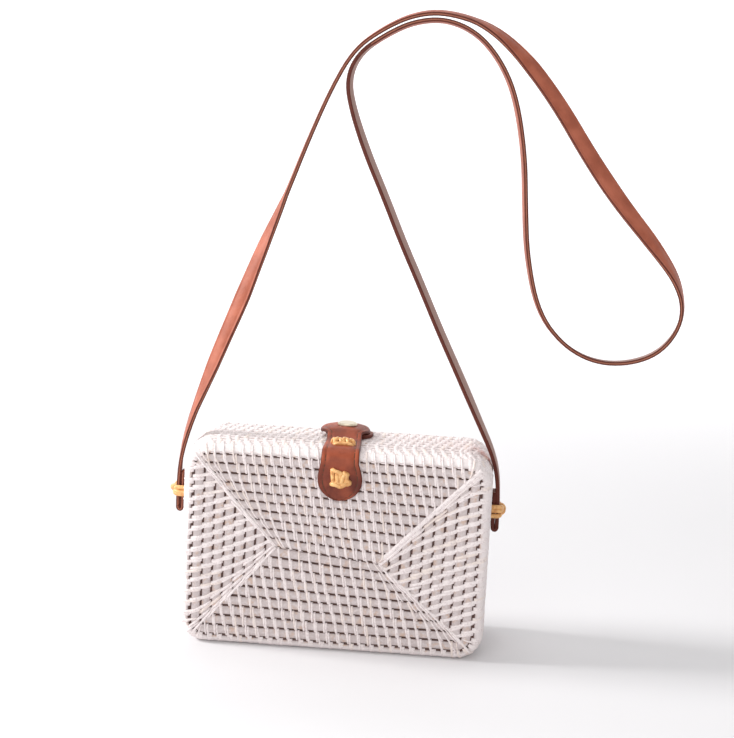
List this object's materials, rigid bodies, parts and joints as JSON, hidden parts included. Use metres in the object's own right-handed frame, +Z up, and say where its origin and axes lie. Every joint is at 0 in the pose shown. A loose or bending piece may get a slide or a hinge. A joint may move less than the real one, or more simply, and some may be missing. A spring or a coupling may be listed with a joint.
{
  "type": "rectangular woven rattan box bag with a leather shoulder strap",
  "caption": "Box bag of whitewashed woven rattan: two trays hinged along the bottom, a leather tab with a snap over the top and a long leather shoulder strap.",
  "frame": {"origin": "under the middle of the woven body, on the surface that the bag stands on", "axes": "+Z up, +X to the right of someone who looks at the front, and the front face with the tab's knot looks towards -Y"},
  "size_m": [0.313, 0.0792, 0.397],
  "materials": {
    "white_rattan": "whitewashed, matte",
    "natural_rattan": "natural, satin",
    "leather": "reddish brown, satin",
    "brass": "pale, satin"
  },
  "bodies": {
    "back": {"back_shell": "white_rattan", "back_tab": "leather", "back_knot_lower": "natural_rattan", "back_knot_upper": "natural_rattan", "snap_stud": "brass", "snap_post": "brass", "strap": "leather", "strap_knot_left": "natural_rattan", "strap_knot_right": "natural_rattan", "hinge_tie_1": "natural_rattan", "hinge_tie_2": "natural_rattan", "hinge_tie_3": "natural_rattan"},
    "front": {"front_shell": "white_rattan", "closure_tab": "leather", "tab_knot_front": "natural_rattan", "tab_knot_top": "natural_rattan"},
    "flap": {"closure_flap": "leather", "snap_cap": "brass", "snap_socket": "brass"}
  },
  "joints": [
    {"name": "front_opens", "type": "hinge", "parent": "back", "child": "front", "pos_m": [0, -0.00955, 0.003], "axis": [1, 0, 0], "range_deg": [0, 90]},
    {"name": "flap_lifts", "type": "hinge", "parent": "front", "child": "flap", "pos_m": [0, -0.00955, 0.1303], "axis": [1, 0, 0], "range_deg": [0, 100]}
  ]
}
